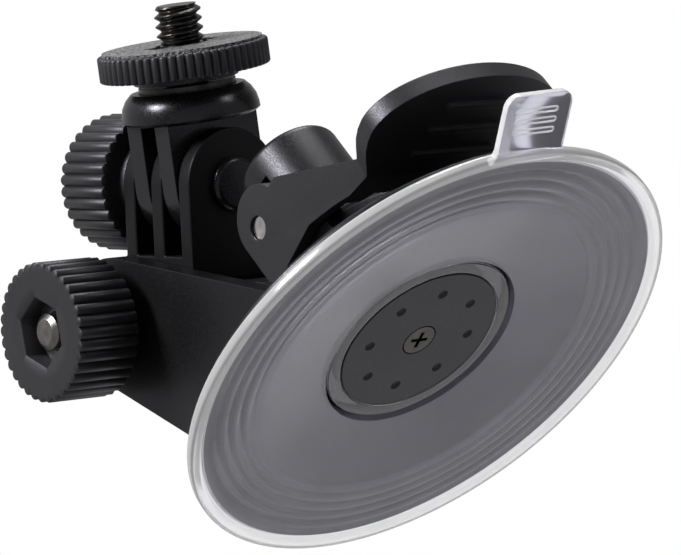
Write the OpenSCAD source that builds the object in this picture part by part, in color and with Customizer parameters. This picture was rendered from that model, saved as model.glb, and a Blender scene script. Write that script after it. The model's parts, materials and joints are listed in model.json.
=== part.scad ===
// Lever-locked suction mount with a tilting prong block, a folding adapter and a tripod screw.
// Frame: origin on the sealing plane under the cup's centre, +Z away from the mounting surface,
// X along the lever pin and the main clamp bolt, -Y towards the lever, +Y towards the clamp arm.
// All sizes are in millimetres.

/* [Suction cup] */
// Outer radius of the clear cup
cup_r = 34.8; // [30:0.1:45]
// Thickness of the clear cup
cup_t = 1.7; // [1.2:0.1:3]
// Radius of the housing flange on the cup
flange_r = 33.4; // [28:0.1:43]
// Radius of the pull plate in the cup's centre
plate_r = 11.4; // [8:0.1:14]
// Radius of the clear boss around the pull plate
boss_r = 13.5; // [10:0.1:16]
// Height of the pull plate above the sealing plane with the lever locked
plate_lift = 3; // [2:0.1:4]
// Number of dimples in the pull plate
dimples = 8; // [4:1:12]
// Length of the pull tab beyond the cup's edge
tab_len = 8.3; // [5:0.1:12]
// Half width of the pull tab
tab_half = 5.15; // [4:0.05:8]
// Upward slope of the pull tab, degrees
tab_slope = 17; // [0:1:45]
// Turn of the pull tab away from the lever's middle, degrees
tab_turn = 2.7; // [-10:0.1:10]

/* [Housing and guide tower] */
// Radius of the guide tower
tower_r = 7.05; // [6:0.05:9]
// Height of the guide tower's top above the sealing plane
tower_top = 36.9; // [33:0.1:42]
// Radius of the hub under the tower
hub_r = 13.2; // [11:0.1:15]
// Height of the cam plate's top
cam_z = 18; // [16:0.1:20]
// Half width of the hub and cam plate along X
hub_half = 10.1; // [9:0.1:11]

/* [Lever] */
// Height of the lever pin with the lever locked
pin_z = 25.4; // [24:0.1:28]
// Radius of the lever pin
pin_r = 1.5; // [1.2:0.05:2]
// Half width over the lever's cheeks
lever_half = 12.1; // [11:0.1:14]
// Half width between the lever's cheeks
lever_gap = 8.2; // [7.5:0.1:9]
// Half width of the paddle
paddle_half = 15.15; // [13:0.05:18]
// Height of the paddle's underside
paddle_z = 13; // [10:0.1:16]
// Thickness of the paddle
paddle_t = 2.5; // [2:0.1:4]

/* [Clamp arm] */
// Main clamp bolt axis, Y
hinge_y = 32.6; // [25:0.1:40]
// Main clamp bolt axis, Z
hinge_z = 41.5; // [35:0.1:50]
// Half width over the arm's two cheeks
arm_half = 11.2; // [10:0.1:13]
// Thickness of one cheek of the arm
cheek_t = 3.4; // [2.5:0.1:5]

/* [Prong block and adapter] */
// Tilt of the prong block from the cup's axis, degrees
block_tilt = 48.3; // [0:0.1:100]
// Distance from the clamp bolt to the prong bolt
prong_h = 18.3; // [15:0.1:25]
// Radius of the prongs' round ends
prong_r = 7.5; // [7:0.1:8]
// Spacing of the block's prongs
prong_pitch = 6.1; // [6:0.05:6.5]
// Thickness of the block's prongs
prong_t = 2.4; // [2:0.1:3]
// Thickness of the adapter's prongs
fork_t = 3; // [2.5:0.1:3.2]
// Sideways lean of the adapter, degrees
adapter_lean = 6.2; // [-30:0.1:30]

/* [Thumb parts] */
// Radius of the two thumb knobs over their ribs
knob_r = 9.33; // [8:0.01:12]
// Length of a knob's ribbed head
knob_len = 9.35; // [7:0.05:14]
// Number of ribs on a knob
knob_ribs = 34; // [20:1:48]
// Radius of the thumb wheel over its ribs
wheel_r = 11.5; // [10:0.1:16]
// Number of ribs on the thumb wheel
wheel_ribs = 60; // [30:1:90]
// Thread radius of the tripod screw, 1/4 inch
tripod_r = 3.175; // [3.175]
// Radius of the two clamp bolts, M5
bolt_r = 2.5; // [2:0.1:3]
// Width across flats of the bolt nuts
nut_af = 8; // [7:0.1:8]

/* [Hidden] */
$fn = 96;
fit = 0.1;              // running clearance on a radius
plate_t = 2.4;          // thickness of the pull plate and its clear boss
stem_r = 5;
core_r = 1.4;           // plunger screw
stem_bore_top = 35.2;
spring_room = 8.6;      // radius of the chamber around the spring
roof_z = 15.5;          // top of that chamber
pin_play = 1.7;         // half width of the lever pin's slots
cam_plate_t = 0.8;
hub_top = cam_z - 0.05 - cam_plate_t;
black = [0.07, 0.07, 0.075];
satin = [0.11, 0.11, 0.115];
clear = [0.85, 0.87, 0.9, 0.4];
steel = [0.7, 0.7, 0.72];
dark = [0.25, 0.25, 0.26];
// Arm side profile: unit vectors along and across its upper and lower edges
up_n = [-0.814, 0.581];
up_d = [-0.581, -0.814];
low_n = [0.922, -0.387];
arm_off = 6.6;          // upper edge's distance from the origin along up_n
low_off = 22.19;        // lower edge's distance from the origin along low_n
low_z = 4.8;            // height at which the lower edge meets the flange
arm_end = [32.27, 41.73];
arm_end_r = 8.6;
slot_r = 25.5;          // clear radius about the clamp bolt for the prong block
washer_t = 0.75;
knob_boss = 1.8;
knob_boss_r = 6.4;
recess_d = 7.1;         // nut recess depth in a knob
nut_t = 4.5;
bolt_tip_r = 1.75;
bolt_out = washer_t + knob_boss + knob_len - 0.6;  // bolt end from the clamped face
fork_bottom = 9.35;     // adapter collar base above the prong bolt
collar_top = 13;
wheel_z = 15;
wheel_t = 3.5;
wheel_rim = 0.7;        // bare rim of the wheel around the pad
pad_t = 0.4;
screw_end = 24.2;
neck_r = 2.9;            // relieved shank of the tripod screw
pad_top = wheel_z + wheel_t + pad_t;
prongs = [0, -prong_pitch, -2 * prong_pitch];
fork_off = 3.05;        // adapter prongs either side of the middle prong
cheek_in = arm_half - cheek_t;

// ---------- helpers ----------

// Extrudes a profile drawn as [y, z] along X from x0 to x1
module side(x0, x1) {
    translate([x0, 0, 0]) rotate([90, 0, 90]) linear_extrude(x1 - x0) children();
}

// The same profile on both sides of the symmetry plane
module both_sides(x0, x1) {
    side(x0, x1) children();
    side(-x1, -x0) children();
}

// Frame of the prong block: Z up the prongs, Y along the prong bolt away from the cup
module at_block() {
    translate([0, hinge_y, hinge_z]) rotate([block_tilt, 0, 0]) children();
}

// Frame of the adapter: origin on the prong bolt, Z along the tripod screw
module at_adapter() {
    at_block() translate([0, -prong_pitch, prong_h]) rotate([0, -adapter_lean, 0]) children();
}

module at_lower_knob() {
    translate([-arm_half - washer_t, hinge_y, hinge_z]) rotate([0, -90, 0]) children();
}

module at_upper_knob() {
    at_block() translate([0, prong_t / 2 + washer_t, prong_h]) rotate([-90, 0, 0]) children();
}

module tube(r, bore, h) {
    difference() {
        cylinder(r = r, h = h);
        translate([0, 0, -1]) cylinder(r = bore, h = h + 2);
    }
}

module hex(af, h) {
    cylinder(r = af / sqrt(3), h = h, $fn = 6);
}

module ribbed(r, ribs, depth, h) {
    steps = 6;
    linear_extrude(h) polygon([for (i = [0 : ribs * steps - 1])
        let (u = (i % steps) / steps, a = 360 * i / (ribs * steps),
             q = r - depth * (1 - sin(180 * u)))
        [q * cos(a), q * sin(a)]]);
}

module capsule(len, w, h) {
    linear_extrude(h) {
        square([len - w, w], center = true);
        for (s = [-1, 1]) translate([s * (len - w) / 2, 0]) circle(d = w, $fn = 24);
    }
}

// ---------- suction cup ----------

module tab_shape() {
    corner = 1.8;
    polygon([[-tab_half - 0.8, 0.9], [-tab_half, -0.4], [-tab_half, corner - tab_len],
             [tab_half, corner - tab_len], [tab_half, -0.4], [tab_half + 0.8, 0.9]]);
    translate([corner - tab_half, -tab_len]) square([2 * (tab_half - corner), 2 * corner]);
    for (s = [-1, 1]) translate([s * (tab_half - corner), corner - tab_len]) circle(r = corner);
}

module membrane() color(clear) {
    hole = boss_r + 0.4;
    rotate_extrude() polygon([[cup_r, 0.35], [cup_r - 0.3, 0], [cup_r - 1.2, 0],
        [cup_r - 1.7, 0.45], [31.5, 0.6], [24, 0.6], [hole, plate_lift - 0.4],
        [hole, plate_lift + 0.8], [24, cup_t], [cup_r - 0.6, cup_t], [cup_r, cup_t - 0.6]]);
    rotate(-tab_turn) translate([0, -34.4, 0.3]) rotate([-tab_slope, 0, 0]) {
        linear_extrude(1) tab_shape();
        for (a = [3.3, 4.7, 6.1]) translate([-0.35, -a, -0.25]) difference() {
            capsule(6.85, 0.75, 0.3);
            translate([0, 0, -0.2]) capsule(6.25, 0.3, 0.4);
        }
    }
}

module centre_boss() color(clear)
    translate([0, 0, plate_lift]) tube(boss_r, plate_r, plate_t);

module plunger_plate() color(black) difference() {
    translate([0, 0, plate_lift]) cylinder(r = plate_r, h = plate_t);
    translate([0, 0, plate_lift - 1]) cylinder(r = 2.4, h = 1.9);
    translate([0, 0, plate_lift - 1]) cylinder(r = core_r, h = 5);
    for (i = [0 : dimples - 1]) rotate(i * 360 / dimples - 1)
        translate([8, 0, plate_lift - 0.4]) sphere(r = 0.8, $fn = 32);
}

module plunger_stem() color(black) difference() {
    translate([0, 0, plate_lift + plate_t]) cylinder(r = stem_r, h = 25);
    translate([0, 0, plate_lift]) cylinder(r = core_r, h = 12);
    translate([-10, 0, pin_z]) rotate([0, 90, 0]) cylinder(r = pin_r + 0.05, h = 20);
}

module plunger_screw() color(steel) difference() {
    union() {
        translate([0, 0, plate_lift]) cylinder(r = 2.3, h = 0.9);
        translate([0, 0, plate_lift + 0.5]) cylinder(r = core_r, h = 11);
    }
    for (a = [0, 90]) rotate(a) translate([-1.3, -0.25, plate_lift - 1]) cube([2.6, 0.5, 1.5]);
}

module return_spring() color(steel) {
    wire = 0.5;
    coils = 6;
    low = plate_lift + plate_t + wire;
    high = roof_z - wire;
    for (i = [0 : coils - 1]) translate([0, 0, low + i * (high - low) / (coils - 1)])
        rotate_extrude() translate([7.2, 0]) circle(r = wire, $fn = 16);
}

// ---------- housing ----------

module arm_side() {
    a = arm_end + arm_end_r * up_n;
    b = arm_end + arm_end_r * low_n;
    c = [(low_off - low_n[1] * low_z) / low_n[0], low_z];
    foot = arm_off * up_n - 12.6 * up_d;
    polygon([a, foot, [foot[0], 11], [18, 8], c, b, arm_end]);
    translate(arm_end) circle(r = arm_end_r);
}

module arm_web() difference() {
    inner = 3.2;
    a = arm_off * up_n - 45 * up_d;
    b = (arm_off - inner) * up_n - 45 * up_d;
    polygon([a, [10.45, 26], [8.8, 24.1], [7.6, 23], [6.4, 22.2], [5.2, 21.7], [5.2, 11],
             [10, 10.5], [10.6, 21.2], b]);
    translate([hinge_y, hinge_z]) circle(r = slot_r);
}

module dome() {
    pocket = boss_r + 0.5;
    pocket_top = 8.2;
    steps = 6;
    edge = 1.1;
    top = [for (i = [0 : steps]) let (a = 90 * i / steps)
        [tower_r - edge + edge * cos(a), tower_top - edge + edge * sin(a)]];
    grooves = [for (r = [30.6, 29.0, 27.4, 25.8]) each
        [[r + 0.35, cup_t], [r + 0.1, cup_t + 0.4], [r - 0.1, cup_t + 0.4], [r - 0.35, cup_t]]];
    rotate_extrude() polygon(concat([[flange_r, cup_t]], grooves,
        [[24.3, cup_t], [24.3, 2.2], [pocket, plate_lift + 1.3], [pocket, pocket_top],
         [spring_room, pocket_top], [spring_room, roof_z], [stem_r + fit, roof_z],
         [stem_r + fit, stem_bore_top], [0, stem_bore_top], [0, tower_top]],
        [for (i = [steps : -1 : 0]) top[i]],
        [[tower_r, hub_top], [hub_r, hub_top], [hub_r, 14.2], [14, 13.4], [17, 11.6],
         [24, 8.4], [31, 4.4], [flange_r, 2.6]]));
}

module housing() color(black) difference() {
    union() {
        difference() {
            dome();
            for (s = [-1, 1]) translate([s * (hub_half + 5), 0, 14.2 + 2])
                cube([10, 40, 4], center = true);
        }
        both_sides(cheek_in, arm_half) arm_side();
        side(-cheek_in, cheek_in) arm_web();
    }
    // space for the stem and the spring inside
    translate([0, 0, 8]) cylinder(r = spring_room, h = roof_z - 8);
    translate([0, 0, 8]) cylinder(r = stem_r + fit, h = stem_bore_top - 8);
    // slots for the lever pin
    translate([-10, -pin_play, 20.6]) cube([20, 2 * pin_play, 12.4]);
    // clamp bolt
    translate([-20, hinge_y, hinge_z]) rotate([0, 90, 0]) cylinder(r = bolt_r + fit, h = 40);
}

module cam_plate() color(steel) intersection() {
    translate([0, 0, hub_top]) tube(hub_r - 0.2, tower_r + 0.3, cam_plate_t);
    translate([-hub_half, -hub_r, 0]) cube([2 * hub_half, hub_r + 3.9, 40]);
}

// ---------- lever ----------

module knuckle() translate([-1, pin_z + 0.1]) circle(r = 4.9);

module cam_back() polygon([[-1, 25.5], [-7.3, cam_z], [-10.6, cam_z], [-13.4, 15.4],
    [-16, 14.1], [-20.4, paddle_z], [-22, paddle_z], [-22, paddle_z + paddle_t],
    [-21, paddle_z + paddle_t], [-7.4, 27], [-6.7, 26.9], [-5.6, 27.1], [-4.7, 27.5],
    [-3.9, 28.2], [-3.2, 29.1]]);

module lever_back() polygon([[-1, 25.5], [-7.4, 17.9], [-10, 16.9], [-13, 15.6], [-16, 14.1],
    [-20.4, paddle_z], [-22, paddle_z], [-22, paddle_z + paddle_t], [-21, paddle_z + paddle_t],
    [-7.4, 27], [-6.7, 26.9], [-5.6, 27.1], [-4.7, 27.5], [-3.9, 28.2], [-3.2, 29.1]]);

module skirt_side() {
    knuckle();
    lever_back();
    polygon([[3.9, 25.5], [3.9, 19.5], [3.3, 18.5], [2.4, 18], [-7.5, 17.9], [-7.5, 20],
             [-1, 25.5]]);
}

module cam_side() {
    knuckle();
    cam_back();
    polygon([[3.9, 25.5], [3.85, 22.4], [2.9, 20.4], [0.8, 18.75], [-2.2, cam_z], [-7.3, cam_z],
             [-7.5, 20], [-1, 25.5]]);
}

module paddle_shape() {
    steps = 72;
    polygon([for (i = [0 : steps]) let (a = 180 * i / steps)
        [paddle_half * cos(a), -27.6 - 8.4 * sin(a)]]);
    polygon([[paddle_half, -27.6], [15, -26.2], [14.5, -24.6], [13.7, -23], [12.8, -21.4],
             [lever_half, -20], [-lever_half, -20], [-12.8, -21.4], [-13.7, -23],
             [-14.5, -24.6], [-15, -26.2], [-paddle_half, -27.6]]);
}

module lever() color(black) difference() {
    union() {
        both_sides(lever_gap, hub_half + 0.3) cam_side();
        both_sides(hub_half + 0.3, lever_half) skirt_side();
        side(-lever_gap, lever_gap) polygon([[-16, 14.1], [-20.4, paddle_z], [-22, paddle_z],
            [-22, paddle_z + paddle_t], [-21, paddle_z + paddle_t], [-16, 19.73]]);
        translate([0, 0, paddle_z]) linear_extrude(paddle_t) paddle_shape();
        for (r = [[-23.4, 13.6], [-27.35, 12], [-31.3, 10.4]])
            translate([0, r[0], paddle_z - 0.45]) capsule(r[1], 0.9, 0.6);
    }
    translate([-20, 0, pin_z]) rotate([0, 90, 0]) cylinder(r = pin_r + fit, h = 40);
}

module lever_pin() color(steel)
    translate([0.4 - lever_half, 0, pin_z]) rotate([0, 90, 0])
        cylinder(r = pin_r, h = 2 * lever_half - 0.8);

// ---------- clamp bolts, knobs and nuts ----------

module knob() difference() {
    union() {
        cylinder(r = knob_boss_r, h = knob_boss + 0.1);
        translate([0, 0, knob_boss]) ribbed(knob_r, knob_ribs, 0.5, knob_len);
    }
    translate([0, 0, -1]) cylinder(r = bolt_r + fit, h = 20);
    translate([0, 0, knob_boss + knob_len - recess_d]) rotate(53.3)
        hex(nut_af + 0.25, recess_d + 1);
}

module nut() translate([0, 0, knob_boss + knob_len - recess_d]) rotate(53.3) difference() {
    hex(nut_af, nut_t);
    translate([0, 0, -1]) cylinder(r = bolt_r + 0.05, h = nut_t + 2);
}

module lower_bolt() color(steel) translate([0, hinge_y, hinge_z]) rotate([0, 90, 0]) {
    end = -arm_half - bolt_out;
    translate([0, 0, end + 0.6]) cylinder(r = bolt_r, h = arm_half - end - 0.5);
    translate([0, 0, end]) cylinder(r1 = bolt_tip_r, r2 = bolt_r, h = 0.6);
    translate([0, 0, arm_half]) difference() {
        cylinder(r1 = 4.4, r2 = 3.4, h = 2.4);
        translate([0, 0, 1]) hex(3, 2);
    }
}

module lower_washer() color(steel)
    translate([-arm_half, hinge_y, hinge_z]) rotate([0, -90, 0]) tube(5, bolt_r + fit, washer_t);

module lower_knob() color(black) at_lower_knob() knob();
module lower_nut() color(steel) at_lower_knob() nut();

module upper_bolt() color(dark) at_block() translate([0, 0, prong_h]) rotate([-90, 0, 0]) {
    first = prongs[2] - prong_t / 2;
    last = prong_t / 2 + bolt_out;
    translate([0, 0, first - 0.1]) cylinder(r = bolt_r, h = last - 0.6 - first + 0.1);
    translate([0, 0, last - 0.6]) cylinder(r1 = bolt_r, r2 = bolt_tip_r, h = 0.6);
    translate([0, 0, first - 1.1]) cylinder(r1 = 3.2, r2 = 3.7, h = 0.5);
    translate([0, 0, first - 0.6]) cylinder(r = 3.7, h = 0.6);
}

module upper_washer() color(steel) at_block()
    translate([0, prong_t / 2, prong_h]) rotate([-90, 0, 0]) tube(5, bolt_r + fit, washer_t);

module upper_knob() color(black) at_upper_knob() knob();
module upper_nut() color(steel) at_upper_knob() nut();

// ---------- prong block ----------

module finger_block() color(black) at_block() difference() {
    top = prong_h - 9.2;
    face = prongs[2] - prong_t / 2;
    union() {
        side(-prong_r, prong_r) {
            circle(r = 8.2);
            polygon([[face, top], [prong_t / 2, top], [4.2, 7.04], [0, 0], [-7.64, -2.98],
                     [face, 5.8]]);
        }
        for (y = prongs) translate([0, y + prong_t / 2, 0]) rotate([90, 0, 0])
            linear_extrude(prong_t) {
                translate([0, prong_h]) circle(r = prong_r);
                translate([-prong_r, top - 1]) square([2 * prong_r, prong_h - top + 1]);
            }
    }
    translate([-20, 0, 0]) rotate([0, 90, 0]) cylinder(r = bolt_r + fit, h = 40);
    translate([0, 5, prong_h]) rotate([90, 0, 0]) cylinder(r = bolt_r + fit, h = 30);
}

// ---------- adapter and tripod screw ----------

module adapter() color(satin) at_adapter() difference() {
    union() {
        for (y = [-fork_off, fork_off]) translate([0, y + fork_t / 2, 0]) rotate([90, 0, 0])
            linear_extrude(fork_t) {
                circle(r = prong_r);
                translate([-prong_r, 0]) square([2 * prong_r, fork_bottom + 0.5]);
            }
        rotate_extrude() polygon([[0, 8.9], [8.7, 8.9], [9.35, fork_bottom], [9.3, 10.1],
            [9.05, 11.2], [8.5, 12.2], [7.9, 12.8], [7.7, collar_top], [0, collar_top]]);
    }
    translate([0, 20, 0]) rotate([90, 0, 0]) cylinder(r = bolt_r + fit, h = 40);
    // pocket of the tripod screw's flange and seat of its retainer
    translate([0, 0, 10.3]) cylinder(r = 5.7, h = 10);
    translate([0, 0, 12.1]) cylinder(r = 6.6, h = 10);
}

module retainer_ring() color(steel) at_adapter()
    translate([0, 0, 12.1]) tube(6.55, neck_r + fit, 1.6);

module neck_washer() color(black) at_adapter()
    translate([0, 0, wheel_z - 0.9]) tube(7.05, neck_r + 0.05, 0.9);

module thumb_wheel() color(black) at_adapter() difference() {
    translate([0, 0, wheel_z]) ribbed(wheel_r, wheel_ribs, 0.35, wheel_t);
    translate([0, 0, wheel_z - 1]) cylinder(r = neck_r + 0.05, h = 10);
}

module wheel_pad() color([0.2, 0.2, 0.2]) at_adapter() difference() {
    translate([0, 0, wheel_z + wheel_t]) cylinder(r = wheel_r - wheel_rim, h = pad_t);
    translate([0, 0, wheel_z]) cylinder(r = tripod_r + 0.3, h = 10);
    translate([-5.2, -1.4, wheel_z]) cube([10.4, 2.8, 10]);
}

module tripod_screw() color(dark) at_adapter() {
    translate([0, 0, 10.5]) cylinder(r = 5.4, h = 1.5);
    translate([0, 0, 11.5]) cylinder(r = neck_r, h = pad_top - 11.5);
    translate([0, 0, pad_top]) cylinder(r = tripod_r, h = screw_end - 0.6 - pad_top);
    translate([0, 0, screw_end - 0.6]) cylinder(r1 = tripod_r, r2 = tripod_r - 0.6, h = 0.6);
}

membrane();
centre_boss();
plunger_plate();
plunger_stem();
plunger_screw();
return_spring();
housing();
cam_plate();
lever();
lever_pin();
lower_bolt();
lower_washer();
lower_knob();
lower_nut();
finger_block();
upper_bolt();
upper_washer();
upper_knob();
upper_nut();
adapter();
retainer_ring();
neck_washer();
thumb_wheel();
wheel_pad();
tripod_screw();
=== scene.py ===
"""Looks for the lever-locked suction mount: materials, clear cup, knobs, thread, lights and camera.

The scene is in metres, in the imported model's own frame. Shapes are written in millimetres and scaled by MM.
"""
import json
import math

import bmesh
import bpy
from mathutils import Matrix, Vector


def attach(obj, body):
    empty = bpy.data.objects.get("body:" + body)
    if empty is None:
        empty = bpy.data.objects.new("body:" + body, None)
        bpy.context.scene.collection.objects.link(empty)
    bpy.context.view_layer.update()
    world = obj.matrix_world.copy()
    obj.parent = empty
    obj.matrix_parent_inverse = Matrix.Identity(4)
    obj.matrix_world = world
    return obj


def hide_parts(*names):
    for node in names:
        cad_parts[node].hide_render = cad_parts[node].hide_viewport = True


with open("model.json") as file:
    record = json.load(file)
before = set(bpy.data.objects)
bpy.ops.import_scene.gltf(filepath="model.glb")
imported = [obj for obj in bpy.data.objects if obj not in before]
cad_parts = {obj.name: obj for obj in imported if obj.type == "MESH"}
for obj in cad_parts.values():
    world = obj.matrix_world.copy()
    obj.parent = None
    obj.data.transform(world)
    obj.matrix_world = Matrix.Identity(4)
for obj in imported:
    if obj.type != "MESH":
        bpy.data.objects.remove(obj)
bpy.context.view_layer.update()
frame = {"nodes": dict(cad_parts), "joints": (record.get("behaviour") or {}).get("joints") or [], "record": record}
nodes = frame["nodes"]
joints = {j["name"]: j for j in frame["joints"]}

MM = 0.001
TAU = 2 * math.pi

# ---------- camera ----------

CAMERA_AT = Vector((-0.40418, -0.36441, -0.32679))
CAMERA_RIGHT = Vector((0.77721, -0.38213, -0.49991))
CAMERA_UP = Vector((0.08045, -0.72761, 0.68126))
CAMERA_BACK = Vector((-0.62407, -0.56970, -0.53477))
LENS_MM = 264.3
BRIGHT_SIDE = (0.0, 0.755, 0.655)


def add_camera():
    data = bpy.data.cameras.new("camera")
    data.sensor_width = 36
    data.lens = LENS_MM
    data.clip_start = 0.01
    data.clip_end = 20
    camera = bpy.data.objects.new("camera", data)
    bpy.context.scene.collection.objects.link(camera)
    turn = Matrix((CAMERA_RIGHT, CAMERA_UP, CAMERA_BACK)).transposed()
    camera.matrix_world = Matrix.Translation(CAMERA_AT) @ turn.to_4x4()
    bpy.context.scene.camera = camera


# ---------- node helpers ----------

def new_material(name):
    material = bpy.data.materials.new(name)
    material.use_nodes = True
    tree = material.node_tree
    shader = tree.nodes["Principled BSDF"]
    return material, tree, shader


def add_node(tree, kind, **values):
    """A node of this kind with its properties or, where the name has a space or capital, its inputs set."""
    node = tree.nodes.new(kind)
    for key, value in values.items():
        if hasattr(node, key):
            setattr(node, key, value)
        else:
            node.inputs[key.replace("_", " ")].default_value = value
    return node


def noise(tree, size_mm, detail=3.0):
    """Noise whose features are about size_mm across, in the object's own coordinates."""
    place = add_node(tree, "ShaderNodeTexCoord")
    texture = add_node(tree, "ShaderNodeTexNoise", Scale=1.0 / (size_mm * MM), Detail=detail)
    tree.links.new(place.outputs["Object"], texture.inputs["Vector"])
    return texture


def vary(tree, source, low, high, target):
    """Maps a 0 to 1 value to a range on a shader socket."""
    spread = add_node(tree, "ShaderNodeMapRange", From_Min=0.3, From_Max=0.7, To_Min=low, To_Max=high)
    tree.links.new(source, spread.inputs["Value"])
    tree.links.new(spread.outputs["Result"], target)


def two_tones(tree, source, first, second, target):
    ramp = add_node(tree, "ShaderNodeValToRGB")
    ramp.color_ramp.elements[0].position = 0.35
    ramp.color_ramp.elements[1].position = 0.65
    ramp.color_ramp.elements[0].color = (*first, 1)
    ramp.color_ramp.elements[1].color = (*second, 1)
    tree.links.new(source, ramp.inputs["Fac"])
    tree.links.new(ramp.outputs["Color"], target)


def bumps(tree, shader, height, depth_mm, strength, soft_edge_mm=0.0):
    """Fine relief from a height output, over edges softened in the shading."""
    bump = add_node(tree, "ShaderNodeBump", Strength=strength, Distance=depth_mm * MM)
    tree.links.new(height, bump.inputs["Height"])
    if soft_edge_mm:
        edge = add_node(tree, "ShaderNodeBevel", samples=4, Radius=soft_edge_mm * MM)
        tree.links.new(edge.outputs["Normal"], bump.inputs["Normal"])
    tree.links.new(bump.outputs["Normal"], shader.inputs["Normal"])


# ---------- materials ----------

def moulded_plastic(name, tone, roughness, grain_mm, grain_depth_mm, soft_edge_mm, shine):
    """Black moulded plastic: fine grain, slow changes of tone and gloss."""
    tint = (1, 1, 1.06)
    material, tree, shader = new_material(name)
    broad = noise(tree, 9.0, 4.0)
    fine = noise(tree, grain_mm, 2.0)
    dark = [tone * 0.85 * c for c in tint]
    light = [tone * 1.2 * c for c in tint]
    two_tones(tree, broad.outputs["Fac"], dark, light, shader.inputs["Base Color"])
    vary(tree, fine.outputs["Fac"], roughness - 0.06, roughness + 0.08, shader.inputs["Roughness"])
    bumps(tree, shader, fine.outputs["Fac"], grain_depth_mm, 0.6, soft_edge_mm)
    shader.inputs["IOR"].default_value = 1.5
    shader.inputs["Specular IOR Level"].default_value = shine
    shader.inputs["Specular Tint"].default_value = (0.97, 0.95, 1.08, 1)
    return material


def plated_steel(name, tone, roughness):
    """Metal with fine scratches and slow changes of tone."""
    material, tree, shader = new_material(name)
    broad = noise(tree, 1.6, 3.0)
    scratch = noise(tree, 0.12, 2.0)
    dark = [tone * 0.75] * 3
    light = [tone * 1.15, tone * 1.08, tone * 1.03]
    two_tones(tree, broad.outputs["Fac"], dark, light, shader.inputs["Base Color"])
    vary(tree, scratch.outputs["Fac"], roughness - 0.06, roughness + 0.1, shader.inputs["Roughness"])
    bumps(tree, shader, scratch.outputs["Fac"], 0.004, 0.4, soft_edge_mm=0.08)
    shader.inputs["Metallic"].default_value = 1.0
    return material


def clear_vinyl(name, milk, roughness, painted_glow=0.0):
    """Clear soft vinyl: refracting, milky and a little wavy; a cut edge is paler and wears a painted glow, an
    emission in place of the light it gathers.
    """
    material, tree, shader = new_material(name)
    wave = noise(tree, 11.0, 1.0)
    film = ((0.66, 0.65, 0.76), (0.75, 0.74, 0.85))
    cut_edge = ((0.94, 0.94, 0.95), (0.98, 0.98, 0.98))
    dark, light = cut_edge if painted_glow else film
    two_tones(tree, wave.outputs["Fac"], dark, light, shader.inputs["Base Color"])
    vary(tree, wave.outputs["Fac"], roughness - 0.02, roughness + 0.03, shader.inputs["Roughness"])
    bumps(tree, shader, wave.outputs["Fac"], 0.12, 0.2)
    shader.inputs["IOR"].default_value = 1.5
    shader.inputs["Transmission Weight"].default_value = 1.0 - milk
    # painted glow: the cut edge's white emission stands in for light the vinyl gathers
    shader.inputs["Emission Color"].default_value = (1, 1, 1, 1)
    shader.inputs["Emission Strength"].default_value = painted_glow
    return material


def grip_pad_with_painted_glints(name):
    """Rubber with a coarse grain; pale flecks painted into its colour stand in for the glints off the grit."""
    material, tree, shader = new_material(name)
    grit = noise(tree, 0.5, 3.0)
    # painted glints: pale flecks mixed into the rubber's colour
    dark, light = (0.015, 0.015, 0.016), (0.27, 0.27, 0.28)
    two_tones(tree, grit.outputs["Fac"], dark, light, shader.inputs["Base Color"])
    vary(tree, grit.outputs["Fac"], 0.2, 0.55, shader.inputs["Roughness"])
    bumps(tree, shader, grit.outputs["Fac"], 1.2, 1.0)
    return material


# Finishes by name; those named as a slot in the record are what that slot's nodes wear
MATERIALS = {
    "clear_pvc": clear_vinyl("clear_vinyl", 0.08, 0.10),
    # the edge vinyl is milkier and paler, and carries a painted glow
    "glowing_vinyl_edge": clear_vinyl("glowing_vinyl_edge", 0.35, 0.12, 0.08),
    "vinyl_boss": clear_vinyl("vinyl_boss", 0.02, 0.06),
    "moulded_black": moulded_plastic("moulded_black", 0.005, 0.37, 0.25, 0.02, 0.2, 0.38),
    "lever_black": moulded_plastic("lever_black", 0.011, 0.42, 0.2, 0.04, 0.2, 0.5),
    # a darker, duller copy of the black plastic, worn by the finger block: painted shade
    "shaded_black": moulded_plastic("shaded_black", 0.004, 0.42, 0.25, 0.015, 0.25, 0.2),
    "disc_black": moulded_plastic("disc_black", 0.014, 0.4, 0.3, 0.01, 0.1, 0.3),
    "grained_black": moulded_plastic("grained_black", 0.012, 0.45, 0.22, 0.03, 0.08, 0.5),
    "satin_black": moulded_plastic("satin_black", 0.007, 0.25, 0.4, 0.006, 0.2, 0.4),
    "grip_pad": grip_pad_with_painted_glints("grip_pad"),
    "plated_steel": plated_steel("plated_steel", 0.6, 0.22),
    "dull_steel": plated_steel("dull_steel", 0.22, 0.3),
    "blackened_steel": plated_steel("blackened_steel", 0.06, 0.3),
}
SLOT_OF = {part["node"]: part["material_slot"] for part in frame["record"]["subparts"]}


def paint(piece, finish):
    piece.data.materials.clear()
    piece.data.materials.append(MATERIALS[finish])


# ---------- mesh helpers ----------

def shade(work, sharp_deg):
    """Shades a mesh smooth, but for edges sharper than the given angle."""
    for edge in work.edges:
        edge.smooth = len(edge.link_faces) == 2 and edge.calc_face_angle() < math.radians(sharp_deg)
    for face in work.faces:
        face.smooth = True


def to_object(name, work, mesh):
    """Writes the edited mesh back and puts it in the scene."""
    work.to_mesh(mesh)
    work.free()
    piece = bpy.data.objects.new(name, mesh)
    bpy.context.scene.collection.objects.link(piece)
    return piece


def add_mesh(name, verts, faces, place=None, sharp_deg=35):
    """A mesh object from points in millimetres, turned into place."""
    mesh = bpy.data.meshes.new(name)
    mesh.from_pydata([Vector(v) * MM for v in verts], [], faces)
    if place is not None:
        mesh.transform(place)
    work = bmesh.new()
    work.from_mesh(mesh)
    bmesh.ops.recalc_face_normals(work, faces=work.faces)
    shade(work, sharp_deg)
    return to_object(name, work, mesh)


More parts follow.
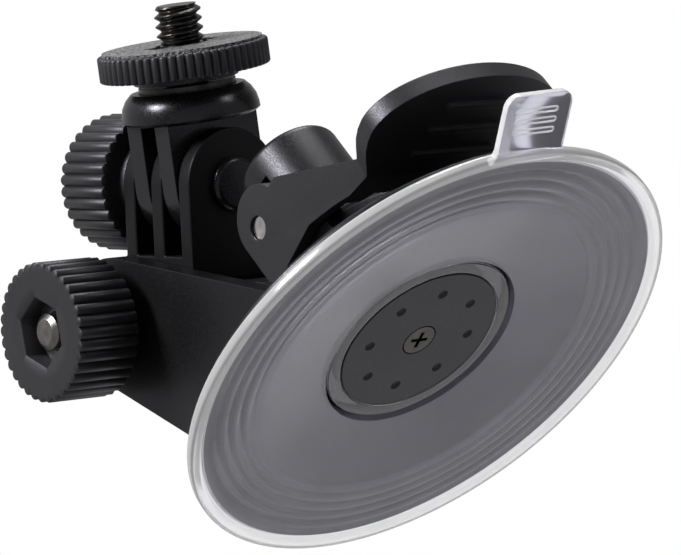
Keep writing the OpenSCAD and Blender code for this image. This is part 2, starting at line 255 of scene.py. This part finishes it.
def loft(name, rings, steps, place=None, closed=True, sharp_deg=35):
    """Joins rings about Z. Each is (radius or function of the angle, height).

    A closed loft joins its last ring to its first; an open one is capped at both ends.
    """
    verts = []
    for radius, height in rings:
        for i in range(steps):
            angle = TAU * i / steps
            r = radius(angle) if callable(radius) else radius
            verts.append((r * math.cos(angle), r * math.sin(angle), height))
    faces = []
    count = len(rings)
    for k in range(count if closed else count - 1):
        a = k * steps
        b = ((k + 1) % count) * steps
        for i in range(steps):
            j = (i + 1) % steps
            faces.append((a + i, a + j, b + j, b + i))
    if not closed:
        faces.append(tuple(reversed(range(steps))))
        faces.append(tuple((count - 1) * steps + i for i in range(steps)))
    return add_mesh(name, verts, faces, place, sharp_deg)


def arc(centre, radius, start_deg, end_deg, steps=6):
    """Points of a round corner in a (radius, height) profile."""
    points = []
    for i in range(steps + 1):
        a = math.radians(start_deg + (end_deg - start_deg) * i / steps)
        points.append((centre[0] + radius * math.cos(a), centre[1] + radius * math.sin(a)))
    return points


def finish_piece(piece, body, slot, *replaced):
    """Paints a piece, rides it on its body and hides the CAD nodes it stands for."""
    paint(piece, slot)
    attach(piece, body)
    if replaced:
        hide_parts(*replaced)
    return piece


def arm_edge(edge):
    """True for the long outer edges of the housing's arm, which are rounder than the rest."""
    return all(abs(v.co.x) > 11.1 * MM and v.co.y > 1.5 * MM and v.co.z > 12 * MM for v in edge.verts)


def round_edges(node_name, body, width_mm, finish=None):
    """Replaces a CAD node by the same solid with whole faces, smooth curves and rounded edges."""
    plain_weight, arm_weight = 0.4, 1.0
    work = bmesh.new()
    work.from_mesh(nodes[node_name].data)
    bmesh.ops.remove_doubles(work, verts=work.verts, dist=0.002 * MM)
    bmesh.ops.dissolve_limit(work, angle_limit=math.radians(0.6), verts=work.verts, edges=work.edges)
    weight = work.edges.layers.float.new("bevel_weight_edge")
    shade(work, sharp_deg=32)
    for edge in work.edges:
        if not edge.smooth:
            edge[weight] = arm_weight if node_name == "housing" and arm_edge(edge) else plain_weight
    name = node_name + "_rounded"
    piece = to_object(name, work, bpy.data.meshes.new(name))
    bevel = piece.modifiers.new("bevel", "BEVEL")
    bevel.width = width_mm / plain_weight * MM
    bevel.segments = 4
    bevel.limit_method = "WEIGHT"
    bevel.harden_normals = True
    finish_piece(piece, body, SLOT_OF[node_name], node_name)
    if finish:
        paint(piece, finish)


# ---------- places of the tilted parts ----------

def frame_at(origin, z_axis, x_hint):
    """A place with its Z along z_axis and its X as near to x_hint as that allows."""
    z = Vector(z_axis).normalized()
    x = (Vector(x_hint) - z * z.dot(Vector(x_hint))).normalized()
    turn = Matrix((x, z.cross(x), z)).transposed()
    return Matrix.Translation(Vector(origin)) @ turn.to_4x4()


HINGE = joints["block_tilt"]["pos_m"]
PRONG_BOLT = joints["adapter_tilt"]["pos_m"]
AWAY = joints["upper_knob_spin"]["axis"]
SCREW_AXIS = joints["screw_spin"]["axis"]
SCREW_BASE = joints["screw_spin"]["pos_m"]

ARM_HALF = 11.2
WASHER = 0.75
PRONG_HALF = 1.2
LOWER_KNOB = frame_at(Vector(HINGE) - Vector(((ARM_HALF + WASHER) * MM, 0, 0)), (-1, 0, 0), (0, 1, 0))
UPPER_KNOB = frame_at(Vector(PRONG_BOLT) + Vector(AWAY) * (PRONG_HALF + WASHER) * MM, AWAY, (1, 0, 0))
SCREW = frame_at(SCREW_BASE, SCREW_AXIS, (1, 0, 0))

# ---------- clear cup ----------

CUP_R = 34.8
BEAD_R = 32.7
TAB_TURN = math.radians(-2.7)
TAB_SLOPE = math.radians(-17)


def add_membrane():
    """Rim bead, ring ridges and the cone up to the moving boss, turned about the cup's axis."""
    ridges, ridge_half, ridge_depth = (30.6, 29.0, 27.4, 25.8), 0.8, 0.08

    def under(r):
        near = [(r - c) / ridge_half for c in ridges if abs(r - c) < ridge_half]
        return 0.6 - sum(ridge_depth * math.cos(off * math.pi / 2) for off in near)

    rings = [(CUP_R, 1.0), (CUP_R, 0.5)]
    rings += arc((34.4, 0.4), 0.4, -10, -90)
    rings += [(33.8, 0.0), (33.5, 0.05), (33.25, 0.25), (33.05, 0.5), (BEAD_R, 0.6)]
    radius = 31.6
    while radius > 24.6:
        rings.append((radius, under(radius)))
        radius -= 0.1
    rings += [(24.2, 0.62), (23.4, 0.74), (22.4, 0.93), (13.95, 2.62), (13.92, 2.8)]
    rings += [(13.92, 3.6), (13.95, 3.75), (23.6, 1.78), (24.4, 1.68)]
    rings += [(34.1, 1.68), (34.5, 1.5), (34.72, 1.25)]
    piece = loft("membrane", rings, 256, sharp_deg=60)
    finish_piece(piece, "base", "clear_pvc", "membrane")
    # rim faces outside the bead get the milkier edge vinyl with its painted glow
    give_glowing_edge(piece, lambda face: face.center.xy.length > BEAD_R * MM)


def give_glowing_edge(piece, chosen):
    """Gives the chosen faces the paler, milkier vinyl of a thick edge, which also carries a painted glow."""
    piece.data.materials.append(MATERIALS["glowing_vinyl_edge"])
    for face in piece.data.polygons:
        if chosen(face):
            face.material_index = 1


def tab_place():
    """The tab's own frame: its root at the rim's edge, -Y outwards, sloping up."""
    return (Matrix.Rotation(TAB_TURN, 4, "Z") @ Matrix.Translation(Vector((0, -34.4, 0.3)) * MM)
            @ Matrix.Rotation(TAB_SLOPE, 4, "X"))


def add_tab():
    """The pull tab: a plate with round corners and edges that flares into the rim."""
    half, length, corner, thick = 5.15, 8.3, 1.8, 1.0
    outline = [(-half - 0.8, 0.85), (-half - 0.3, 0.2), (-half, -0.8)]
    outline += arc((corner - half, corner - length), corner, 180, 270, 8)
    outline += arc((half - corner, corner - length), corner, 270, 360, 8)
    outline += [(half, -0.8), (half + 0.3, 0.2), (half + 0.8, 0.85)]
    levels = [(0.16, 0.0), (0.04, 0.05), (0.0, 0.2), (0.0, thick - 0.2), (0.04, thick - 0.05), (0.16, thick)]
    middle = Vector((0, -length / 2))
    count = len(outline)
    verts = []
    for inset, height in levels:
        for x, y in outline:
            inward = (middle - Vector((x, y))).normalized() * inset
            verts.append((x + inward.x, y + inward.y, height))
    faces = [tuple(reversed(range(count))), tuple((len(levels) - 1) * count + i for i in range(count))]
    for k in range(len(levels) - 1):
        for i in range(count):
            j = (i + 1) % count
            faces.append((k * count + i, k * count + j, (k + 1) * count + j, (k + 1) * count + i))
    piece = add_mesh("pull_tab", verts, faces, tab_place(), 60)
    finish_piece(piece, "base", "clear_pvc")
    flat = tab_place().to_3x3() @ Vector((0, 0, 1))
    # the tab's edge faces get the milkier edge vinyl with its painted glow
    give_glowing_edge(piece, lambda face: abs(face.normal.dot(flat)) < 0.9)
    for index, along in enumerate((3.3, 4.7, 6.1)):
        bar = ring_bead(f"tab_bar_{index + 1}", 6.4, 0.62, 0.13, (-0.35, -along, -0.05))
        finish_piece(bar, "base", "clear_pvc")
        # the bars get the milkier edge vinyl with its painted glow
        give_glowing_edge(bar, lambda face: True)


def ring_bead(name, length, width, bead, centre):
    """A thin round bead along a capsule outline, lying in the tab's plane."""
    r = width / 2
    outline = arc((length / 2 - r, 0), r, -90, 90, 8) + arc((r - length / 2, 0), r, 90, 270, 8)
    path = [Vector((*p, 0)) for p in outline]
    count, sides = len(path), 8
    verts = []
    for i, point in enumerate(path):
        ahead = (path[(i + 1) % count] - path[i - 1]).normalized()
        side = Vector((ahead.y, -ahead.x, 0))
        for k in range(sides):
            a = TAU * k / sides
            off = side * math.cos(a) * bead + Vector((0, 0, math.sin(a) * bead))
            verts.append(point + off + Vector(centre))
    faces = []
    for i in range(count):
        j = (i + 1) % count
        for k in range(sides):
            m = (k + 1) % sides
            faces.append((i * sides + k, i * sides + m, j * sides + m, j * sides + k))
    return add_mesh(name, verts, faces, tab_place(), 80)


def add_boss():
    """The clear collar around the pull plate."""
    inner, outer, low, high, edge = 11.42, 13.5, 3.0, 5.4, 0.35
    rings = arc((outer - edge, low + edge), edge, -90, 0) + [(outer, high), (inner, high)]
    rings += arc((inner + edge, low + edge), edge, 180, 270)
    piece = finish_piece(loft("centre_boss", rings, 192), "plunger", "clear_pvc", "centre_boss")
    paint(piece, "vinyl_boss")


# ---------- knobs and wheel ----------

def lobes(radius, count, depth):
    """Round lobes with sharp valleys between them."""
    return lambda angle: radius - depth * (1 - abs(math.sin(angle * count / 2)) ** 0.7)


def hexagon(across_flats, turn):
    """The outline of a hexagon as a radius that depends on the angle."""
    def radius(angle):
        off = (angle - turn) % (TAU / 6) - TAU / 12
        return across_flats / 2 / math.cos(off)
    return radius


def shrink(shape, by):
    return lambda angle: shape(angle) - by


def add_knob(name, place):
    """A thumb knob: plain boss, ribbed head and hexagonal recess."""
    boss_r, boss_h, head_r, head_h, recess = 6.4, 1.8, 9.33, 9.35, 7.1
    bore_r, ribs = 2.6, 34
    face = boss_h + head_h
    rib = lobes(head_r, ribs, 0.6)
    socket = hexagon(8.25, math.radians(53.3))
    rings = [(bore_r, 0.0), (boss_r - 0.2, 0.0), (boss_r, 0.2), (boss_r, boss_h)]
    rings += [(shrink(rib, 1.2), boss_h), (shrink(rib, 0.12), boss_h), (rib, boss_h + 0.12)]
    rings += [(rib, face - 0.12), (shrink(rib, 0.12), face)]
    rings += [(8.1, face), (6.2, face), (shrink(socket, -0.12), face), (socket, face - 0.12)]
    rings += [(socket, face - recess), (bore_r, face - recess)]
    piece = loft(name, rings, ribs * 12, place, sharp_deg=50)
    finish_piece(piece, name, "grained_black", name)


def add_wheel():
    """The thumb wheel, finely ribbed."""
    low, high, bore_r, ribs = 15.0, 18.5, 2.95, 60
    rib = lobes(11.5, ribs, 0.42)
    rings = [(bore_r, low), (9.6, low), (shrink(rib, 0.3), low), (shrink(rib, 0.1), low + 0.1)]
    rings += [(rib, low + 0.3), (rib, high - 0.3), (shrink(rib, 0.1), high - 0.1)]
    rings += [(shrink(rib, 0.3), high), (10.7, high), (bore_r, high)]
    piece = loft("thumb_wheel", rings, ribs * 10, SCREW, sharp_deg=50)
    finish_piece(piece, "wheel", "grained_black", "thumb_wheel")


# ---------- tripod screw ----------

def add_tripod_screw():
    """The held flange and neck, then a V thread cut as a helix about Z, with a chamfered tip."""
    root, crest, pitch, start, end, chamfer = 2.5, 3.175, 1.27, 18.92, 24.2, 0.9
    steps, per_turn = 96, 16
    depth = crest - root

    def thread(height):
        def radius(angle):
            phase = (height / pitch - angle / TAU) % 1
            valley = min(1.0, max(0.0, abs(2 * phase - 1) * 1.35 - 0.18))
            tip = root + 0.15 + (end - height) / chamfer * depth
            runout = root + (height - start) / (pitch * 0.6) * depth + 0.02
            return min(crest - depth * valley, tip, max(root, runout))
        return radius

    rings = [(5.4, 10.5), (5.4, 12.0), (2.9, 12.0), (2.9, 18.9), (2.55, 18.9)]
    count = int((end - start) / pitch * per_turn)
    for k in range(count + 1):
        height = start + (end - start) * k / count
        rings.append((thread(height), height))
    rings.append((root - 0.5, end))
    piece = loft("tripod_screw", rings, steps, SCREW, closed=False, sharp_deg=40)
    finish_piece(piece, "wheel", "blackened_steel", "tripod_screw")


# ---------- scene ----------

def add_stage():
    """A plain pale floor well below the mount."""
    half, drop = 9000, 1.5
    corners = [(-half, -half, 0), (half, -half, 0), (half, half, 0), (-half, half, 0)]
    floor = add_mesh("floor", corners, [(0, 1, 2, 3)], Matrix.Translation((0, 0, -drop)))
    material, tree, shader = new_material("floor")
    cloud = noise(tree, 900.0, 2.0)
    two_tones(tree, cloud.outputs["Fac"], (0.86, 0.86, 0.86), (0.9, 0.9, 0.9), shader.inputs["Base Color"])
    shader.inputs["Roughness"].default_value = 0.9
    floor.data.materials.append(material)


def add_light(name, across, up, toward, distance, size, power):
    """A soft box placed by the directions of the camera's right, up and back."""
    data = bpy.data.lights.new(name, "AREA")
    data.shape = "RECTANGLE"
    data.size, data.size_y = size
    data.energy = power
    light = bpy.data.objects.new(name, data)
    bpy.context.scene.collection.objects.link(light)
    target = Vector((0, 0.005, 0.03))
    out = (CAMERA_RIGHT * across + CAMERA_UP * up + CAMERA_BACK * toward).normalized()
    light.location = target + out * distance
    light.rotation_mode = "QUATERNION"
    light.rotation_quaternion = out.to_track_quat("Z", "Y")
    light.visible_camera = False


def add_world():
    """A studio surround: bright behind and above, dark in front, white seen directly or through vinyl."""
    world = bpy.data.worlds.new("world")
    bpy.context.scene.world = world
    world.use_nodes = True
    tree = world.node_tree
    background = tree.nodes["Background"]
    background.inputs["Color"].default_value = (1, 1, 1, 1)
    place = add_node(tree, "ShaderNodeTexCoord")
    facing = add_node(tree, "ShaderNodeVectorMath", operation="DOT_PRODUCT")
    facing.inputs[1].default_value = BRIGHT_SIDE
    tree.links.new(place.outputs["Generated"], facing.inputs[0])
    spread = add_node(tree, "ShaderNodeMapRange", interpolation_type="SMOOTHSTEP",
                      From_Min=-0.5, From_Max=0.9, To_Min=0.02, To_Max=0.5)
    tree.links.new(facing.outputs["Value"], spread.inputs["Value"])
    path = add_node(tree, "ShaderNodeLightPath")
    seen = add_node(tree, "ShaderNodeMath", operation="MAXIMUM")
    tree.links.new(path.outputs["Is Camera Ray"], seen.inputs[0])
    tree.links.new(path.outputs["Is Transmission Ray"], seen.inputs[1])
    mix = add_node(tree, "ShaderNodeMix", data_type="FLOAT")
    tree.links.new(seen.outputs["Value"], mix.inputs["Factor"])
    tree.links.new(spread.outputs["Result"], mix.inputs["A"])
    mix.inputs["B"].default_value = 1.0
    tree.links.new(mix.outputs["Result"], background.inputs["Strength"])


add_camera()
for node_name, node in nodes.items():
    paint(node, SLOT_OF[node_name])

add_membrane()
add_tab()
add_boss()
add_knob("lower_knob", LOWER_KNOB)
add_knob("upper_knob", UPPER_KNOB)
add_wheel()
add_tripod_screw()

# the finger block wears the darker copy of the black plastic as painted shade
for node_name, body, width, finish in (
        ("lever", "lever", 0.4, "lever_black"), ("finger_block", "block", 0.3, "shaded_black"),
        ("adapter", "adapter", 0.3, None), ("housing", "base", 0.4, None),
        ("cam_plate", "base", 0.1, "moulded_black"), ("plunger_plate", "plunger", 0.15, "disc_black"),
        ("plunger_screw", "plunger", 0.12, "blackened_steel"), ("lower_nut", "lower_knob", 0.3, "dull_steel"),
        ("upper_nut", "upper_knob", 0.3, "dull_steel"), ("lower_bolt", "base", 0.15, "dull_steel"),
        ("upper_bolt", "block", 0.25, "satin_black")):
    round_edges(node_name, body, width, finish)

add_stage()
add_light("key", -1.0, 0.65, 0.4, 0.9, (0.25, 0.3), 10.5)
add_light("fill", 0.75, 0.8, 0.2, 1.0, (0.25, 0.4), 1.5)
add_light("top", 0.0, 1.0, -0.3, 0.9, (0.5, 0.3), 5)
add_light("under", 0.45, -0.75, -0.4, 1.0, (0.8, 0.8), 1.2)
add_world()
bpy.context.scene.view_settings.view_transform = "Standard"
